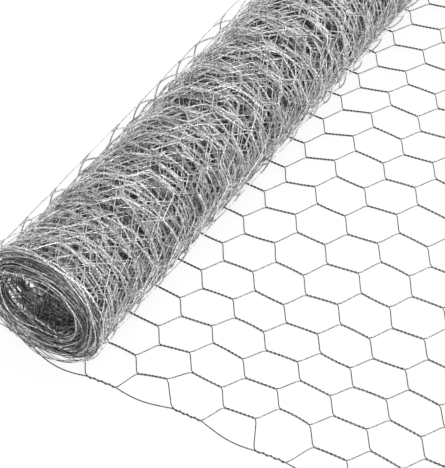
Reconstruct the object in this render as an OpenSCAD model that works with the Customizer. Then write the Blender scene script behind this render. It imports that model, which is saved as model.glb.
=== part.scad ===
// Roll of hexagonal wire netting with its loose end unrolled on the floor.
// The twists of the netting run along its length, so on the roll they go round it.
// +Y is along the roll, +X is the way it unrolls, and +Z is up from the floor.

/* [Netting] */
// Mesh size, between the twisted sides of one hexagon
mesh_size = 50; // [35:1:60]
// Distance along the netting from one twist to the next in the same line
mesh_pitch = 106; // [92:1:114]
// Length of a twisted side
twist_length = 37; // [33:1:42]
// Hexagons across the width of the netting
mesh_count = 18; // [10:1:22]
// Diameter of the wire
wire_d = 1; // [0.6:0.1:1.4]
// How far the selvedge wire bows outwards between its twists
selvedge_bow = 5; // [0:0.5:8]

/* [Roll] */
// Diameter of the hollow down the middle
bore_d = 90; // [70:1:130]
// Tight turns of netting round the hollow
turn_count = 39; // [20:1:48]
// Thickness of one tight turn, with the turns nested in each other
turn_pitch = 0.72; // [0.6:0.02:1.2]
// Width of the groove between neighbouring turns, where they show on the ends
turn_groove = 0.4; // [0.1:0.05:0.5]
// Depth of those grooves
groove_depth = 2; // [0.5:0.5:5]

/* [Loose end] */
// Netting laid out on the floor, measured from the roll's axis
unrolled = 480; // [240:1:600]
// Distance from the roll's axis to the first twist of the selvedge
first_twist = 36; // [25:1:60]
// How far the loose lap lies on the floor behind the roll's axis
lap_foot = 11; // [4:0.5:16]
// Slack of the loose lap, as extra radius over the tight turns
lap_slack = 1.5; // [0.5:0.5:5]
// Angle that the loose lap goes round the roll
lap_turn = 270; // [120:5:290]
// Clearance between the tight turns and the netting that lies against them
lap_clearance = 0.4; // [0.3:0.1:0.8]

/* [Hidden] */

galvanised = [0.62, 0.63, 0.65];
shaded = [0.42, 0.43, 0.45];

netting_width = mesh_count * mesh_size;
// Lines of twists, half a mesh apart, the odd ones half a pitch further along
lines = 2 * mesh_count;

// Half-diagonals of the four-sided wires. A twist turns in the circle that its two
// strands fill, and a single wire keeps the section area of the round one.
twist_half = wire_d;
wire_half = wire_d / 2 * sqrt(PI / 2);
// Half the angle between the two wires that leave a twist
fork = atan2(mesh_size / 2, mesh_pitch / 2 - twist_length);

// Radius over the tight turns, and that of the netting's middle where it lies on them
roll_r = bore_d / 2 + turn_count * turn_pitch;
seat_r = roll_r + lap_clearance + twist_half;
lap_r = seat_r + lap_slack;
axis_z = twist_half + seat_r;

// The loose lap is a circle that rests on the floor and runs into the tight turns.
centres_apart = norm([lap_foot, lap_slack]);
meet_reach = (centres_apart^2 + lap_r^2 - seat_r^2) / (2 * centres_apart);
meet_angle = acos(meet_reach / lap_r) - atan2(lap_slack, lap_foot);
meet_bend = 270 - meet_angle;
seat_angle = atan2(lap_slack + lap_r * sin(meet_angle), lap_r * cos(meet_angle) - lap_foot);

// The netting is divided across the middle of its even twists, at these rows.
function row_at(row) = first_twist + row * mesh_pitch + twist_length / 2;
tail_row = floor((unrolled - row_at(0)) / mesh_pitch);
foot_row = floor((-lap_foot - row_at(0)) / mesh_pitch);
lap_row = foot_row - floor(seat_r * lap_turn * PI / 180 / mesh_pitch);

// Where the netting's middle lies at a distance along it from below the axis:
// x, z, and the angle that its upper side has turned through.
function lie(along) =
    let (bend = max(0, -along - lap_foot) / lap_r * 180 / PI)
    bend <= meet_bend
        ? [max(along, -lap_foot) - lap_r * sin(bend), twist_half + lap_r * (1 - cos(bend)), bend]
        : let (angle = seat_angle - (bend - meet_bend) * lap_r / seat_r)
          [seat_r * cos(angle), axis_z + seat_r * sin(angle), 270 - angle];

// A point of the netting: along it, across it, and above its middle
function laid(along, across, above) =
    let (at = lie(along))
    [at[0] + above * sin(at[2]), across, at[1] + above * cos(at[2])];

function across(line) = line * mesh_size / 2 - netting_width / 2;
function twist_at(line, row) = first_twist + (row + line % 2 / 2) * mesh_pitch;
// -1 and 1 on the two selvedges, and 0 between them
function selvedge(line) = line == 0 ? -1 : line == lines ? 1 : 0;

// A ring of four corners round a wire: top, left, bottom and right, seen along it
function ring(along, across, tall, wide, turn) = [
    for (k = [0 : 3])
        let (half = k % 2 == 0 ? tall : wide, angle = 90 * k + turn)
        laid(along, across + half * sin(angle), half * cos(angle))
];

// Corners where a twist parts into two wires: top, left, bottom, right and fork.
// The way is 1 at the start of a twist and -1 at its end.
function parting(line, along, way) =
    let (
        y = across(line),
        side = selvedge(line),
        ease = way * wire_half * tan(fork / 2),
        reach = way * wire_half / (side == 0 ? sin(fork) : tan(fork / 2))
    )
    [
        laid(along, y, wire_half),
        laid(along + (side == 1 ? 0 : ease), y + wire_half, 0),
        laid(along, y, -wire_half),
        laid(along + (side == -1 ? 0 : ease), y - wire_half, 0),
        laid(along - reach, y - side * wire_half, 0),
    ];
function starting(line, row) = parting(line, twist_at(line, row), 1);
function ending(line, row) = parting(line, twist_at(line, row) + twist_length, -1);

// The rings in which a parting's strands begin or end
function pick(corners, order) = [for (k = order) corners[k]];
function twist_ring(corners) = pick(corners, [0, 1, 2, 3]);
function turned_ring(corners) = pick(corners, [2, 3, 0, 1]);
function left_ring(corners) = pick(corners, [0, 1, 2, 4]);
function right_ring(corners) = pick(corners, [0, 4, 2, 3]);

// A twisted side makes half a turn, in steps. It may begin or end halfway.
twist_steps = 4;
function twist(line, row, from = 0, to = 1) = [
    if (from == 0) twist_ring(starting(line, row)),
    for (i = [max(from * twist_steps, 1) : min(to * twist_steps, twist_steps - 1)])
        let (share = i / twist_steps)
        ring(
            twist_at(line, row) + share * twist_length,
            across(line),
            wire_half, twist_half, share * 180
        ),
    if (to == 1) turned_ring(ending(line, row)),
];

// Single wires run from the end of a twist to the start of one in the next line.
function leftwards(line, row) =
    [left_ring(ending(line, row)), right_ring(starting(line + 1, row + line % 2))];
function rightwards(line, row) =
    [right_ring(ending(line, row)), left_ring(starting(line - 1, row + line % 2))];

// The selvedge wire bows outwards from one twist of its line to the next.
selvedge_steps = 4;
function outer_ring(line, corners) = line == 0 ? right_ring(corners) : left_ring(corners);
function bow(line, row) = [
    outer_ring(line, ending(line, row)),
    for (i = [1 : selvedge_steps - 1])
        ring(
            twist_at(line, row) + twist_length + (mesh_pitch - twist_length) * i / selvedge_steps,
            across(line) + selvedge(line) * selvedge_bow * sin(180 * i / selvedge_steps),
            wire_half, wire_half, 0
        ),
    outer_ring(line, starting(line, row + 1)),
];

// All strands between two dividing rows, each a list of rings. The twists that are
// cut off come first, those at the start and then those at the end.
function strands(from_row, to_row) = [
    for (line = [0 : 2 : lines]) twist(line, from_row, from = 0.5),
    for (line = [0 : 2 : lines]) twist(line, to_row, to = 0.5),
    for (row = [from_row + 1 : 1 : to_row - 1], line = [0 : 2 : lines]) twist(line, row),
    for (row = [from_row : to_row - 1]) each [
        for (line = [1 : 2 : lines]) twist(line, row),
        for (line = [0 : lines - 1]) leftwards(line, row),
        for (line = [1 : lines]) rightwards(line, row),
        bow(0, row),
        bow(lines, row),
    ],
];

// The part's origin is on the floor, in the middle of everything.
lap_x = [for (strand = strands(lap_row, foot_row), ring = strand, corner = ring) corner[0]];
axis_x = -(min(lap_x) + row_at(tail_row)) / 2;

// Netting between two dividing rows as one closed mesh, capped where it is cut off
module netting(from_row, to_row) {
    all = strands(from_row, to_row);
    cut = mesh_count + 1;
    // Number of the first corner of each strand
    first = [for (n = 0, at = 0; n < len(all); at = at + 4 * len(all[n]), n = n + 1) at];
    corners = [for (strand = all, ring = strand) each ring];
    walls = [
        for (n = [0 : len(all) - 1], i = [0 : len(all[n]) - 2], k = [0 : 3])
            let (a = first[n] + 4 * i + k, b = first[n] + 4 * i + (k + 1) % 4)
            each [[a, b, a + 4], [b, b + 4, a + 4]]
    ];
    start_caps = [for (n = [0 : cut - 1]) [for (k = [3 : -1 : 0]) first[n] + k]];
    end_caps = [for (n = [cut : 2 * cut - 1]) [for (k = [4 : -1 : 1]) first[n + 1] - k]];
    translate([axis_x, 0, 0])
        polyhedron(points = corners, faces = concat(walls, start_caps, end_caps), convexity = 10);
}

// One end of the tight turns in section, as radius and height, with a groove after
// each turn but the last
function ridges(height) = [
    [bore_d / 2, height],
    for (i = [1 : turn_count - 1])
        let (between = bore_d / 2 + i * turn_pitch)
        each [
            [between - turn_groove / 2, height],
            [between, height - sign(height) * groove_depth],
            [between + turn_groove / 2, height],
        ],
    [roll_r, height],
];
function reversed(list) = [for (i = [len(list) - 1 : -1 : 0]) list[i]];

module tight_turns() {
    color(shaded)
        translate([axis_x, 0, axis_z])
            rotate([90, 0, 0])
                rotate_extrude($fn = 96)
                    polygon(concat(ridges(-netting_width / 2), reversed(ridges(netting_width / 2))));
}

module loose_lap() {
    color(galvanised) netting(lap_row, foot_row);
}

module unrolled_length() {
    color(galvanised) netting(foot_row, tail_row);
}

tight_turns();
loose_lap();
unrolled_length();
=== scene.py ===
import math

import bmesh
import bpy
import numpy as np
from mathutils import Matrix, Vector


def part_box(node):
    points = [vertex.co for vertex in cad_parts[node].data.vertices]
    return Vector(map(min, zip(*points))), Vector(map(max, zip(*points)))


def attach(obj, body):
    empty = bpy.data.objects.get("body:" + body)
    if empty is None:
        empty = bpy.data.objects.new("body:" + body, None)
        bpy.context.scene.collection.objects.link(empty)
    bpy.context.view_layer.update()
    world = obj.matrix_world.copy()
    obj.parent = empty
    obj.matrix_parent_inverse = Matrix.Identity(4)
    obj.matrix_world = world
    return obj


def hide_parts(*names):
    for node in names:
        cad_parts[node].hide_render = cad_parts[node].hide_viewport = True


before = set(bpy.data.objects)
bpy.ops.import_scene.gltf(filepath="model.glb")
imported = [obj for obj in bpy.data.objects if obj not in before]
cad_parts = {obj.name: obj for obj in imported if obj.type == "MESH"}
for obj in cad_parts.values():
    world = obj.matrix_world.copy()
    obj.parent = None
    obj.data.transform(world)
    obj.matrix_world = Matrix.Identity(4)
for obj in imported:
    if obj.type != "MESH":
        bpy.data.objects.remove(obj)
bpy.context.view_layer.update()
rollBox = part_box("tight_turns")
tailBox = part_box("unrolled_length")
axisX = (rollBox[0][0] + rollBox[1][0]) / 2
axisZ = (rollBox[0][2] + rollBox[1][2]) / 2
nearEnd, farEnd = rollBox[0][1], rollBox[1][1]
floorZ = tailBox[0][2]
dice = np.random.default_rng(seed=11)
print("frame loaded")

# the netting's pattern in metres, with the meshes of the bars in the frame
netting = dict(
    mesh=0.050,
    pitch=0.106,
    twist=0.037,
    firstTwist=0.036,
    meshesAcross=18,
    wireRadius=0.00047,
    selvedgeRadius=0.00056,
    selvedgeBow=0.0052,
    selvedgeOut=0.0023,  # the outer meshes are a little wider
    twistSwing=1.55,  # in wire radii: how far the two wires of a twist stand apart
    selvedgeSwing=(0.35, 2.4),  # the selvedge runs straight, its mate wraps round it
    twistBow=0.0006,
    cornerShare=0.15,  # share of a slanting wire that bends at each end
    lean=(-0.0955, 0.0692),  # slope of the twists in the even and the odd lines
)


def rowAt(row):
    return netting["firstTwist"] + row * netting["pitch"] + netting["twist"] / 2


def ease(value):
    share = np.clip(value, 0, 1)
    return share * share * (3 - 2 * share)


# waves of the uneven lie and of the worn zinc, drawn in this order
waveSettings = dict(
    slip=dict(count=4, shortest=0.70, longest=2.40, spread=0.0),
    slide=dict(count=7, shortest=0.25, longest=0.90),
    sidle=dict(count=7, shortest=0.25, longest=0.90),
    shortSlide=dict(count=7, shortest=0.07, longest=0.25),
    shortSidle=dict(count=7, shortest=0.07, longest=0.25),
    lift=dict(count=12, shortest=0.05, longest=0.30),
    bow=dict(count=12, shortest=0.02, longest=0.12),
    patch=dict(count=12, shortest=0.03, longest=0.20),
    edge=dict(count=9, shortest=0.12, longest=0.50),
)


# a few crossed waves with fixed phases: their rates along and across, and the phases
def makeWaves(count, shortest, longest, spread=math.pi):
    length = np.exp(dice.uniform(math.log(shortest), math.log(longest), count))
    turn = dice.uniform(0, spread, count)
    phase = dice.uniform(0, 2 * math.pi, count)
    return 2 * math.pi / length * np.cos(turn), 2 * math.pi / length * np.sin(turn), phase


waves = {kind: makeWaves(**settings) for kind, settings in waveSettings.items()}


# sum of the waves of one kind, about 1 in size
def ripple(kind, along, across):
    total = np.zeros_like(along)
    for alongRate, acrossRate, phase in zip(*waves[kind]):
        total += np.sin(alongRate * along + acrossRate * across + phase)
    return total / math.sqrt(waveSettings[kind]["count"] / 2)


# how it is wound, from the floor below the axis inwards, lengths in metres
winding = dict(
    turns=40,
    stepsPerTurn=200,
    outer=0.0735,
    inner=0.0392,
    leftGap=0.0268,  # the outer laps stand off the roll on both sides
    rightGap=0.0216,
    gapGrowth=0.92,  # share per metre of width
    loosen=1.15,  # how fast the gaps close from lap to lap
    eccentric=0.0045,
    squash=(0.155, -0.070),  # the innermost turn is flattened: wide in X, low at the top right
    bunches=9,  # the tight turns lie in bunches with gaps between them
    bunchDepth=0.42,  # share of the way in that is taken up in the bunches
    bunchGap=0.16,  # share of the turns that cross the gaps
    sway=0.0018,  # and the bunches are not quite round
    swayTurns=3.6,
    uneven=0.0005,
    unevenWaves=((0.61, 0.4), (1.37, 2.1), (2.23, 4.4)),  # rate per turn, and phase
)


# how far the laps stand off the roll, halfway along it
def looseGap(turn):
    swing = np.sin(2 * math.pi * turn)
    gap = np.where(swing > 0, winding["leftGap"], winding["rightGap"])
    return gap * swing ** 2 * np.exp(-winding["loosen"] * turn)


# path of the netting's middle as seen from the near end, from the bore out to the tail:
# distance along it, x and z from the roll's axis, and the turns wound so far
def layPath():
    w = winding
    seat = axisZ - floorZ - 2 * netting["wireRadius"]
    turn = np.linspace(0, w["turns"], w["stepsPerTurn"] * w["turns"])
    share = np.clip((turn - 1) / (w["turns"] - 1), 0, 1)
    bunch, way = np.divmod(share * w["bunches"], 1)
    leap = ease((way - 1 + w["bunchGap"]) / w["bunchGap"])
    way = w["bunchDepth"] * way + (1 - w["bunchDepth"]) * leap
    radius = w["outer"] + (w["inner"] - w["outer"]) * (bunch + way) / w["bunches"]
    wound = np.clip(turn - 1, 0, 1)
    radius += w["sway"] * np.sin(2 * math.pi * (turn + w["swayTurns"] * share)) * wound
    for rate, phase in w["unevenWaves"]:
        radius += w["uneven"] * np.sin(2 * math.pi * rate * turn + phase) * wound
    wide, tilt = w["squash"]
    radius *= 1 + share * (tilt * np.sin(4 * math.pi * turn) - wide * np.cos(4 * math.pi * turn))
    radius += (seat - w["outer"]) * np.clip(1 - turn, 0, 1) + looseGap(turn)
    x = -radius * np.sin(2 * math.pi * turn) - w["eccentric"] * share
    z = np.maximum(-radius * np.cos(2 * math.pi * turn), -seat)
    along = -np.concatenate(([0], np.cumsum(np.hypot(np.diff(x), np.diff(z)))))
    tailEnd = 2 * (tailBox[1][0] - axisX)
    return (
        np.append(along[::-1], tailEnd),
        np.append(x[::-1], tailEnd),
        np.append(z[::-1], -seat),
        np.append(turn[::-1], 0),
    )


path = layPath()
print("path", round(float(path[0][0]), 2), "m wound")


# how far the corners of the meshes stray: slip and slide along, sidle across, lift off
stray = dict(
    tail=dict(slip=0.0, slide=0.0006, sidle=0.0006, lift=0.0),
    roll=dict(slip=0.0130, slide=0.0060, sidle=0.0110, lift=0.0006),
    fadeIn=0.15,  # length over which the roll's values take over from the tail's
    shortShare=0.30,  # short waves against long ones
    edgeShare=0.25,  # the selvedges stray less across
    edgePower=40,
)

# bumps of the laid-out netting: place along and across, how far they move it along,
# across and up, and their reach both ways
bumps = (
    dict(place=(0.126, 0.025), move=(-0.002, 0.0, 0.008), reach=(0.030, 0.020)),
    dict(place=(0.255, 0.0), move=(0.0, -0.010, 0.0), reach=(0.050, 0.015)),
    dict(place=(0.110, 0.0), move=(0.005, -0.001, 0.0), reach=(0.120, 0.012)),
    dict(place=(0.134, 0.090), move=(-0.001, 0.0, 0.0035), reach=(0.030, 0.035)),
    dict(place=(0.160, 0.225), move=(0.0, -0.0035, 0.0), reach=(0.050, 0.040)),
    dict(place=(0.265, 0.280), move=(0.0, 0.003, 0.0), reach=(0.040, 0.040)),
    dict(place=(0.073, 0.430), move=(0.003, -0.003, 0.0), reach=(0.025, 0.090)),
    dict(place=(0.134, 0.480), move=(-0.001, 0.0, 0.005), reach=(0.030, 0.120)),
)


# how far a corner of the meshes is from its place: along, across and up
def strayAt(along, across):
    wound = ease(-along / stray["fadeIn"])
    amount = {}
    for kind, tailAmount in stray["tail"].items():
        amount[kind] = tailAmount * (1 - wound) + stray["roll"][kind] * wound
    short = stray["shortShare"]
    outward = np.clip(np.abs(across) / farEnd, 0, 1) ** stray["edgePower"]
    edge = 1 - (1 - stray["edgeShare"]) * outward
    slip = amount["slip"] * ripple("slip", along, across)
    slide = ripple("slide", along, across) + short * ripple("shortSlide", along, across)
    sidle = ripple("sidle", along, across) + short * ripple("shortSidle", along, across)
    lift = amount["lift"] * ripple("lift", along, across)
    shift = np.stack((slip + amount["slide"] * slide, amount["sidle"] * edge * sidle, lift))
    for bump in bumps:
        aside = (along - bump["place"][0]) / bump["reach"][0]
        beyond = (across - nearEnd - bump["place"][1]) / bump["reach"][1]
        shift += np.multiply.outer(bump["move"], np.exp(-aside ** 2 - beyond ** 2))
    return shift


# how it lies: turned a little against the roll, arched up from the floor, and slack at
# the ends of the roll
lie = dict(
    lead=0.0151,  # shift along the netting
    skew=-0.0788,  # and how it grows across the width
    skewEase=0.0362,
    drift=0.0338,  # shift across for each metre laid out
    sidestep=-0.0082,  # shift across where it leaves the roll
    sidestepReach=0.1,
    waist=0.044,  # share by which the roll is slimmer between its ends
    waistReach=0.055,
    yaw=-0.0042,  # turn of the roll itself
    yawReach=0.05,
    archEnd=0.48,  # where the arch is down on the floor again
    crest=dict(height=0.0171, start=0.18, end=0.44),  # start and end across the width
    nearCrest=dict(height=0.0125, start=0.18, end=0.0),
)


# height of the laid-out netting over the floor
def archAt(run, width):
    bend = np.sin(math.pi * np.clip(run / lie["archEnd"], 0, 1)) ** 2
    rise = 0
    for crest in (lie["crest"], lie["nearCrest"]):
        reach = crest["end"] - crest["start"]
        rise = rise + crest["height"] * ease((width - crest["start"]) / reach)
    return bend * rise


# painted light and shade on the zinc: shaded where it was laid out and deep inside, lit outside,
# varied by random wear
paintedLightAndWear = dict(
    litTurn=0.5,  # turns up from the floor until it takes the painted light
    outerTurns=(12, 32),  # turns over which the painted shade deepens inwards
    endTurns=(3, 14),  # the same within reach of the ends
    endReach=0.010,
    selvedgeShare=(0.16, 1.0),  # painted shade inside a bunch and painted light on its outside
    selvedgeFade=0.7,  # share of a bunch over which its painted shade deepens
    deepShare=0.06,
    endShare=-0.30,  # below 0 the wires take a darker painted shade
    wireSpread=0.12,
    patchSpread=0.35,  # worn and fresh stretches of wire
    edgeSpread=0.40,
    boreTurns=(36, 38.5),  # painted light, brighter again round the hollow
    boreShare=1.0,
    limits=(-0.5, 1.2),  # full painted shade and the brightest lit zinc
)


# painted light and shade: 1 for lit wire in the open, 0 for painted shade on wire that was
# laid out or lies deep in the roll; the selvedges, first and last of the wires, show on the ends
# in every turn
def paintedLightAt(turn, across):
    inside = ease(np.minimum(across - nearEnd, farEnd - across) / paintedLightAndWear["endReach"])
    ends, middle = paintedLightAndWear["endTurns"], paintedLightAndWear["outerTurns"]
    first = ends[0] + (middle[0] - ends[0]) * inside
    last = ends[1] + (middle[1] - ends[1]) * inside
    outer = 1 - ease((turn - first) / (last - first))
    bunch = np.clip((turn - 1) / (winding["turns"] - 1), 0, 1) * winding["bunches"] % 1
    hidden, shown = paintedLightAndWear["selvedgeShare"]
    first, last = paintedLightAndWear["boreTurns"]
    bore = ease((turn - first) / (last - first))
    deep = paintedLightAndWear["endShare"] + (paintedLightAndWear["deepShare"] - paintedLightAndWear["endShare"]) * inside
    least = deep + (paintedLightAndWear["boreShare"] - deep) * bore
    selvedge = shown + (hidden - shown) * ease(bunch / paintedLightAndWear["selvedgeFade"])
    least[[0, -1]] = selvedge[[0, -1]]
    outer[[0, -1]] = -1
    return ease(turn / paintedLightAndWear["litTurn"]) * np.maximum(outer, least)


# places points given along, across and above the netting on its path
def layOut(along, across, above):
    width = across - nearEnd
    run = along + lie["lead"] + lie["skew"] * width + lie["skewEase"] * width ** 2
    sidestep = lie["sidestep"] * ease(run / lie["sidestepReach"] + 0.5)
    y = across + lie["drift"] * np.maximum(0, run) + sidestep
    turn = np.interp(run, path[0], path[3])
    fromMiddle = width - (farEnd - nearEnd) / 2
    up = above - looseGap(turn) * winding["gapGrowth"] * fromMiddle + archAt(run, width)
    step = 1e-4
    dx = np.interp(run + step, path[0], path[1]) - np.interp(run - step, path[0], path[1])
    dz = np.interp(run + step, path[0], path[2]) - np.interp(run - step, path[0], path[2])
    size = np.hypot(dx, dz)
    upX, upZ = -dz / size, dx / size
    x = np.interp(run, path[0], path[1]) + upX * up
    z = np.interp(run, path[0], path[2]) + upZ * up
    # the roll is slimmer between its ends, and rests on the floor all along
    inset = np.minimum(width, farEnd - nearEnd - width)
    scale = np.where(run < 0, 1 - lie["waist"] * ease(inset / lie["waistReach"]), 1)
    rest = path[2][-1]
    x = axisX + x * scale + lie["yaw"] * width * ease(-run / lie["yawReach"])
    z = np.maximum(axisZ + rest + (z - rest) * scale, floorZ + netting["selvedgeRadius"])
    face = np.stack((upX, np.zeros_like(upX), upZ), axis=-1)
    patch = 1 + paintedLightAndWear["patchSpread"] * ripple("patch", along, across)
    edge = ripple("edge", along[[0, -1]], across[[0, -1]])
    patch[[0, -1]] = 1 + paintedLightAndWear["edgeSpread"] * edge
    # painted light and shade on the wire, times the random worn and fresh stretches
    litAndWear = np.clip(paintedLightAt(turn, across) * patch, *paintedLightAndWear["limits"])
    return np.stack((x, y, z), axis=-1), face, litAndWear


# share of the way across at a share of the way along a slanting wire, bent at both ends
def slant(t):
    c = netting["cornerShare"]
    if t < c:
        return t * t / (2 * c * (1 - c))
    if t > 1 - c:
        return 1 - (1 - t) ** 2 / (2 * c * (1 - c))
    return (t - c / 2) / (1 - c)


# every wire of the netting between the middles of two rows of twists: wire j zigzags
# between lines j and j + 1 and twists with its two neighbours by turns
def layWires(fromRow, toRow, twistSteps, bendSteps, twistTurns):
    n = netting
    half = n["pitch"] / 2
    gap = half - n["twist"]
    lines = 2 * n["meshesAcross"]
    wires = np.arange(-1, lines + 1)
    spots = []

    # where each wire twists in half-row m: its line, the side of it that it takes, how far
    # it swings round the twist, and how far half of the twist leans sideways
    def homeOf(m):
        line = np.where((wires - m) % 2 == 0, wires, wires + 1)
        line = np.clip(line, 0, lines)
        line = np.where(wires == lines, lines, line)
        side = np.where(wires >= line, 1.0, -1.0)
        outermost = (line == 0) | (line == lines)
        selvedge = (wires == -1) | (wires == lines)
        run, wrap = n["selvedgeSwing"]
        loose = np.where(outermost, wrap, n["twistSwing"])
        swing = n["wireRadius"] * np.where(selvedge, run, loose)
        reach = np.where(outermost, 0, n["lean"][m % 2] * n["twist"] / 2)
        y = line * n["mesh"] / 2 + nearEnd
        y = y + n["selvedgeOut"] * ((line == lines).astype(float) - (line == 0))
        return y, side, swing, reach

    # selvedge wires twist on even half-rows only, and bow outwards past the odd ones
    def bowSelvedge(y, up, home, run):
        middle, side, swing = home[:3]
        bow = n["selvedgeBow"] * math.sin(math.pi * run / (n["pitch"] - n["twist"]))
        for w in (0, -1):
            y[w] = middle[w] + side[w] * (swing[w] + bow)
            up[w] = 0

    def add(place, y, up, fromStray, toStray, t):
        shift = fromStray * (1 - t) + toStray * t
        spots.append(np.stack((place + shift[0], y + shift[1], up + shift[2])))

    for m in range(2 * fromRow, 2 * toRow + 1):
        home = homeOf(m)
        middle, side, swing, reach = home
        start = n["firstTwist"] + m * half
        end = start + n["twist"]
        startStray = strayAt(np.full(len(wires), start), middle - reach)
        endStray = strayAt(np.full(len(wires), end), middle + reach)
        bend = n["twistBow"] * ripple("bow", np.full(len(wires), start), middle)
        first = twistSteps // 2 if m == 2 * fromRow else 0
        last = twistSteps // 2 if m == 2 * toRow else twistSteps
        for i in range(first, last + 1):
            t = i / twistSteps
            spin = 2 * math.pi * twistTurns * t
            y = middle + side * swing * math.cos(spin) + reach * (2 * t - 1)
            y += bend * math.sin(math.pi * t)
            up = side * swing * math.sin(spin)
            if m % 2:
                bowSelvedge(y, up, home, gap + n["twist"] * t)
            add(start + n["twist"] * t, y, up, startStray, endStray, t)
        if m == 2 * toRow:
            break
        nextMiddle, nextSide, nextSwing, nextReach = homeOf(m + 1)
        nextStray = strayAt(np.full(len(wires), end + gap), nextMiddle - nextReach)
        for i in range(1, bendSteps):
            t = i / bendSteps
            s = slant(t)
            y = (middle + side * swing + reach) * (1 - s)
            y += (nextMiddle + nextSide * nextSwing - nextReach) * s
            up = np.zeros(len(wires))
            run = gap * t if m % 2 == 0 else gap + n["twist"] + gap * t
            bowSelvedge(y, up, home, run)
            add(end + gap * t, y, up, endStray, nextStray, t)
    return np.array(spots).transpose(1, 2, 0)


# joins round wires into one mesh, each a closed tube along its points
def sweepWires(name, point, face, litAndWear, sides, stout):
    wires, steps = point.shape[:2]
    ahead = np.gradient(point, axis=1)
    ahead /= np.linalg.norm(ahead, axis=2, keepdims=True)
    left = np.cross(ahead, face)
    left /= np.linalg.norm(left, axis=2, keepdims=True)
    top = np.cross(left, ahead)
    radius = np.full(wires, netting["wireRadius"])
    radius[[0, -1]] = netting["selvedgeRadius"]
    # a wire of few sides is as broad on average as a round one
    radius = radius[:, None, None, None] * stout * math.pi / (sides * math.sin(math.pi / sides))
    turn = 2 * math.pi * np.arange(sides) / sides
    rings = point[:, :, None, :] + radius * (
        np.cos(turn)[None, None, :, None] * left[:, :, None, :]
        + np.sin(turn)[None, None, :, None] * top[:, :, None, :]
    )
    number = np.arange(wires * steps * sides).reshape(wires, steps, sides)
    a, b = number[:, :-1], number[:, 1:]
    nextA, nextB = np.roll(a, -1, axis=2), np.roll(b, -1, axis=2)
    walls = np.stack((a, b, nextB, nextA), axis=-1).reshape(-1)
    caps = np.concatenate((number[:, 0], number[:, -1, ::-1])).reshape(-1)
    loops = np.concatenate((walls, caps))
    wallStarts = np.arange(0, len(walls), 4)
    capStarts = len(walls) + np.arange(0, len(caps), sides)
    starts = np.concatenate((wallStarts, capStarts))
    mesh = bpy.data.meshes.new(name)
    mesh.vertices.add(number.size)
    mesh.vertices.foreach_set("co", rings.reshape(-1))
    mesh.loops.add(len(loops))
    mesh.loops.foreach_set("vertex_index", loops)
    mesh.polygons.add(len(starts))
    mesh.polygons.foreach_set("loop_start", starts)
    mesh.update(calc_edges=True)
    # painted light and shade with random wear, which mixes the lit and the shaded zinc
    tone = mesh.attributes.new("litAndWear", "FLOAT", "POINT")
    tone.data.foreach_set("value", np.repeat(litAndWear.reshape(-1), sides))
    mesh.shade_smooth()
    piece = bpy.data.objects.new(name, mesh)
    bpy.context.collection.objects.link(piece)
    print(name, len(walls) // 2, "triangles")
    return piece


# rows where the pieces part, and how finely each is made
tailRow, footRow, lapRow, outerRow = 4, -1, -5, -19
innerRows = 10
middlePieces = 3
startMargin = 0.09  # of the path, left free in the hollow
innerRow = math.ceil((path[0][0] + startMargin - rowAt(0)) / netting["pitch"])
middleRows = np.linspace(innerRow + innerRows, outerRow, middlePieces + 1).astype(int).tolist()
fine = dict(twistSteps=24, bendSteps=6, twistTurns=4, sides=6, stout=1.28)
slender = dict(fine, stout=1.0)
medium = dict(twistSteps=16, bendSteps=4, twistTurns=4, sides=4, stout=0.95)
plain = dict(twistSteps=4, bendSteps=3, twistTurns=0, sides=3, stout=1.0)
pieceSettings = dict(
    unrolledWires=dict(rows=(footRow, tailRow), node="unrolled_length", make=fine),
    looseLapWires=dict(rows=(lapRow, footRow), node="loose_lap", make=slender),
    outerTurnWires=dict(rows=(outerRow, lapRow), node="tight_turns", make=medium),
    middleTurnWires1=dict(rows=middleRows[2:4], node="tight_turns", make=plain),
    middleTurnWires2=dict(rows=middleRows[1:3], node="tight_turns", make=plain),
    middleTurnWires3=dict(rows=middleRows[0:2], node="tight_turns", make=plain),
    innerTurnWires=dict(rows=(innerRow, middleRows[0]), node="tight_turns", make=medium),
)
wireCount = 2 * netting["meshesAcross"] + 2
wireTone = 1 + paintedLightAndWear["wireSpread"] * dice.uniform(-1, 1, (wireCount, 1))

pieces = {}
for name, settings in pieceSettings.items():
    make = settings["make"]
    steps = make["twistSteps"], make["bendSteps"], make["twistTurns"]
    point, face, litAndWear = layOut(*layWires(*settings["rows"], *steps))
    piece = sweepWires(name, point, face, litAndWear * wireTone, make["sides"], make["stout"])
    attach(piece, "root")
    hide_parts(settings["node"])
    pieces[name] = piece

# galvanised wire: grey zinc with lighter spangle and darker oxide, in a lit and a painted shaded
# copy
zincSettings = dict(
    # colours of the lit copy of the zinc and of its painted shaded copy
    litAndWearLight=(0.96, 0.96, 0.96, 1),
    litAndWearDark=(0.44, 0.44, 0.44, 1),
    dullLight=(0.19, 0.19, 0.19, 1),
    dullDark=(0.07, 0.07, 0.07, 1),
    deepShadeShare=0.10,
    litAndWearRough=(0.34, 0.52),
    dullRough=(0.14, 0.26),
    spangleScale=450,
    spangleDetail=2,
    spangleRange=(0.40, 0.58),
    bumpStrength=0.2,
    bumpDistance=0.0001,
)


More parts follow.
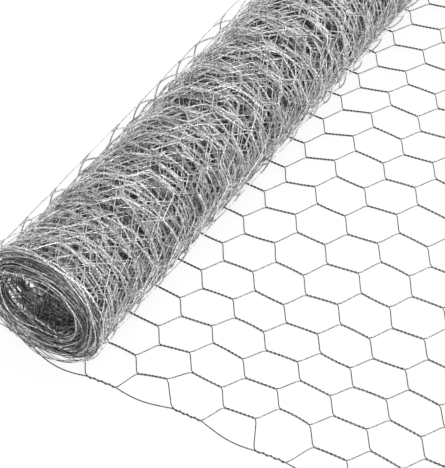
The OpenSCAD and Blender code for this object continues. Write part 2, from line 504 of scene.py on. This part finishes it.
def makeZinc():
    z = zincSettings
    material = bpy.data.materials.new("galvanisedWire")
    material.use_nodes = True
    nodes, links = material.node_tree.nodes, material.node_tree.links
    shader = nodes["Principled BSDF"]
    shader.inputs["Metallic"].default_value = 1
    place = nodes.new("ShaderNodeTexCoord")
    spangle = nodes.new("ShaderNodeTexNoise")
    spangle.inputs["Scale"].default_value = z["spangleScale"]
    spangle.inputs["Detail"].default_value = z["spangleDetail"]
    links.new(place.outputs["Object"], spangle.inputs["Vector"])
    # a painted shaded and a lit copy of the zinc, mixed by the painted light and shade
    tones = []
    for state in ("dull", "litAndWear"):
        tone = nodes.new("ShaderNodeValToRGB")
        dark, light = tone.color_ramp.elements
        dark.position, light.position = z["spangleRange"]
        dark.color = z[state + "Dark"]
        light.color = z[state + "Light"]
        links.new(spangle.outputs["Fac"], tone.inputs["Fac"])
        tones.append(tone)
    litAndWear = nodes.new("ShaderNodeAttribute")
    litAndWear.attribute_name = "litAndWear"
    mix = nodes.new("ShaderNodeMix")
    mix.data_type = "RGBA"
    links.new(litAndWear.outputs["Fac"], mix.inputs["Factor"])
    links.new(tones[0].outputs["Color"], mix.inputs["A"])
    links.new(tones[1].outputs["Color"], mix.inputs["B"])
    # painted shade, darker still where the attribute is below 0
    shadeFactor = nodes.new("ShaderNodeMapRange")
    shadeFactor.inputs["From Min"].default_value = paintedLightAndWear["limits"][0]
    shadeFactor.inputs["From Max"].default_value = 0
    shadeFactor.inputs["To Min"].default_value = z["deepShadeShare"]
    links.new(litAndWear.outputs["Fac"], shadeFactor.inputs["Value"])
    paintedShade = nodes.new("ShaderNodeMix")
    paintedShade.data_type = "RGBA"
    paintedShade.blend_type = "MULTIPLY"
    paintedShade.inputs["Factor"].default_value = 1
    links.new(mix.outputs["Result"], paintedShade.inputs["A"])
    links.new(shadeFactor.outputs["Result"], paintedShade.inputs["B"])
    links.new(paintedShade.outputs["Result"], shader.inputs["Base Color"])
    roughs = []
    for state in ("dull", "litAndWear"):
        rough = nodes.new("ShaderNodeMapRange")
        smooth, coarse = z[state + "Rough"]
        rough.inputs["To Min"].default_value = coarse
        rough.inputs["To Max"].default_value = smooth
        links.new(spangle.outputs["Fac"], rough.inputs["Value"])
        roughs.append(rough)
    roughMix = nodes.new("ShaderNodeMix")
    links.new(litAndWear.outputs["Fac"], roughMix.inputs["Factor"])
    links.new(roughs[0].outputs["Result"], roughMix.inputs["A"])
    links.new(roughs[1].outputs["Result"], roughMix.inputs["B"])
    links.new(roughMix.outputs["Result"], shader.inputs["Roughness"])
    bump = nodes.new("ShaderNodeBump")
    bump.inputs["Strength"].default_value = z["bumpStrength"]
    bump.inputs["Distance"].default_value = z["bumpDistance"]
    links.new(spangle.outputs["Fac"], bump.inputs["Height"])
    links.new(bump.outputs["Normal"], shader.inputs["Normal"])
    return material


zinc = makeZinc()
for piece in pieces.values():
    piece.data.materials.append(zinc)
print("zinc finish on", len(pieces), "pieces")

# stage: white floor with a painted shadow under the roll, light sky and three soft lamps
stage = dict(
    floorSize=60,
    floorTone=0.9,
    floorRough=0.9,
    floorSpecular=0.1,
    paintedShadowTone=0.03,
    shadowShare=0.12,
    paintedShadowX=(-0.086, -0.036, 0.022, 0.046),  # painted shadow under the roll, from its axis
    paintedShadowY=(0.0, 0.03),  # and inwards from its ends
    sky=1.03,
    horizon=0.87,
    skyFrom=(-0.10, -0.20, 0.97),
    skyRange=(0.0, 0.8),  # from the horizon's tone to the full sky
    lampAway=3.0,
)
lamps = dict(
    key=dict(toward=(0.30, 0.25, 0.92), size=1.0, power=27),
    side=dict(toward=(0.85, -0.30, 0.45), size=1.4, power=36),
    front=dict(toward=(0.10, -0.90, 0.40), size=1.2, power=19),
)


def makeFloor():
    mesh = bpy.data.meshes.new("floor")
    board = bmesh.new()
    bmesh.ops.create_grid(board, x_segments=1, y_segments=1, size=stage["floorSize"] / 2)
    bmesh.ops.translate(board, verts=board.verts, vec=(0, 0, floorZ))
    board.to_mesh(mesh)
    board.free()
    floor = bpy.data.objects.new("floor", mesh)
    bpy.context.collection.objects.link(floor)
    material = bpy.data.materials.new("whiteFloor")
    material.use_nodes = True
    nodes, links = material.node_tree.nodes, material.node_tree.links
    shader = nodes["Principled BSDF"]
    shader.inputs["Roughness"].default_value = stage["floorRough"]
    shader.inputs["Specular IOR Level"].default_value = stage["floorSpecular"]
    glow = nodes.new("ShaderNodeEmission")
    seen = nodes.new("ShaderNodeLightPath")
    total = seen.outputs["Is Camera Ray"]
    for ray in ("Is Glossy Ray", "Is Transmission Ray"):
        either = nodes.new("ShaderNodeMath")
        either.operation = "MAXIMUM"
        links.new(total, either.inputs[0])
        links.new(seen.outputs[ray], either.inputs[1])
        total = either.outputs["Value"]
    # the glow fades out under the roll, where the floor lies in the roll's shadow, and its
    # colour darkens there to a painted shadow
    place = nodes.new("ShaderNodeTexCoord")
    parts = nodes.new("ShaderNodeSeparateXYZ")
    links.new(place.outputs["Object"], parts.inputs["Vector"])
    paintedShadowX = [axisX + x for x in stage["paintedShadowX"]]
    outer, inner = stage["paintedShadowY"]
    sides = (
        ("X", paintedShadowX[0], paintedShadowX[1]),
        ("X", paintedShadowX[3], paintedShadowX[2]),
        ("Y", nearEnd + outer, nearEnd + inner),
        ("Y", farEnd - outer, farEnd - inner),
    )
    paintedShadowMask = None
    for axis, start, end in sides:
        side = nodes.new("ShaderNodeMapRange")
        side.interpolation_type = "SMOOTHSTEP"
        side.inputs["From Min"].default_value = start
        side.inputs["From Max"].default_value = end
        links.new(parts.outputs[axis], side.inputs["Value"])
        if paintedShadowMask:
            links.new(paintedShadowMask, side.inputs["To Max"])
        paintedShadowMask = side.outputs["Result"]
    # painted shadow: the floor's colour darkens under the roll
    tone = nodes.new("ShaderNodeMapRange")
    tone.inputs["To Min"].default_value = stage["floorTone"]
    tone.inputs["To Max"].default_value = stage["paintedShadowTone"]
    links.new(paintedShadowMask, tone.inputs["Value"])
    links.new(tone.outputs["Result"], shader.inputs["Base Color"])
    glowShare = nodes.new("ShaderNodeMapRange")
    glowShare.inputs["To Min"].default_value = 1 - stage["shadowShare"]
    glowShare.inputs["To Max"].default_value = 0
    links.new(paintedShadowMask, glowShare.inputs["Value"])
    share = nodes.new("ShaderNodeMath")
    share.operation = "MULTIPLY"
    links.new(total, share.inputs[0])
    links.new(glowShare.outputs["Result"], share.inputs[1])
    mix = nodes.new("ShaderNodeMixShader")
    links.new(share.outputs["Value"], mix.inputs["Fac"])
    links.new(shader.outputs["BSDF"], mix.inputs[1])
    links.new(glow.outputs["Emission"], mix.inputs[2])
    links.new(mix.outputs["Shader"], nodes["Material Output"].inputs["Surface"])
    mesh.materials.append(material)


# a round lamp that points at the origin
def makeLamp(name, toward, size, power):
    lamp = bpy.data.lights.new(name, "AREA")
    lamp.shape = "DISK"
    lamp.size = size
    lamp.energy = power
    holder = bpy.data.objects.new(name, lamp)
    holder.location = Vector(toward).normalized() * stage["lampAway"]
    holder.rotation_euler = (-holder.location).to_track_quat("-Z", "Y").to_euler()
    bpy.context.collection.objects.link(holder)


# bright overhead, dimmer towards the horizon
def makeWorld():
    world = bpy.data.worlds.new("studio")
    world.use_nodes = True
    nodes, links = world.node_tree.nodes, world.node_tree.links
    back = nodes["Background"]
    place = nodes.new("ShaderNodeTexCoord")
    facing = nodes.new("ShaderNodeVectorMath")
    facing.operation = "DOT_PRODUCT"
    facing.inputs[1].default_value = stage["skyFrom"]
    links.new(place.outputs["Generated"], facing.inputs[0])
    ramp = nodes.new("ShaderNodeMapRange")
    ramp.inputs["From Min"].default_value = stage["skyRange"][0]
    ramp.inputs["From Max"].default_value = stage["skyRange"][1]
    ramp.inputs["To Min"].default_value = stage["horizon"]
    ramp.inputs["To Max"].default_value = stage["sky"]
    links.new(facing.outputs["Value"], ramp.inputs["Value"])
    links.new(ramp.outputs["Result"], back.inputs["Color"])
    bpy.context.scene.world = world


makeFloor()
makeWorld()
for name, settings in lamps.items():
    makeLamp(name, **settings)

# camera at the photograph's height and angle
cameraSettings = dict(
    place=(0.7217, -1.5740, 1.5481),
    look=(-0.3814, 0.6152, -0.6900),
    lens=149.75,
    sensor=36,
    clipEnd=100,
)
camera = bpy.data.objects.new("camera", bpy.data.cameras.new("camera"))
camera.data.lens = cameraSettings["lens"]
camera.data.sensor_width = cameraSettings["sensor"]
camera.data.clip_end = cameraSettings["clipEnd"]
camera.location = cameraSettings["place"]
camera.rotation_euler = Vector(cameraSettings["look"]).to_track_quat("-Z", "Y").to_euler()
bpy.context.collection.objects.link(camera)
bpy.context.scene.camera = camera
bpy.context.scene.view_settings.view_transform = "Standard"
print("stage and camera ready")
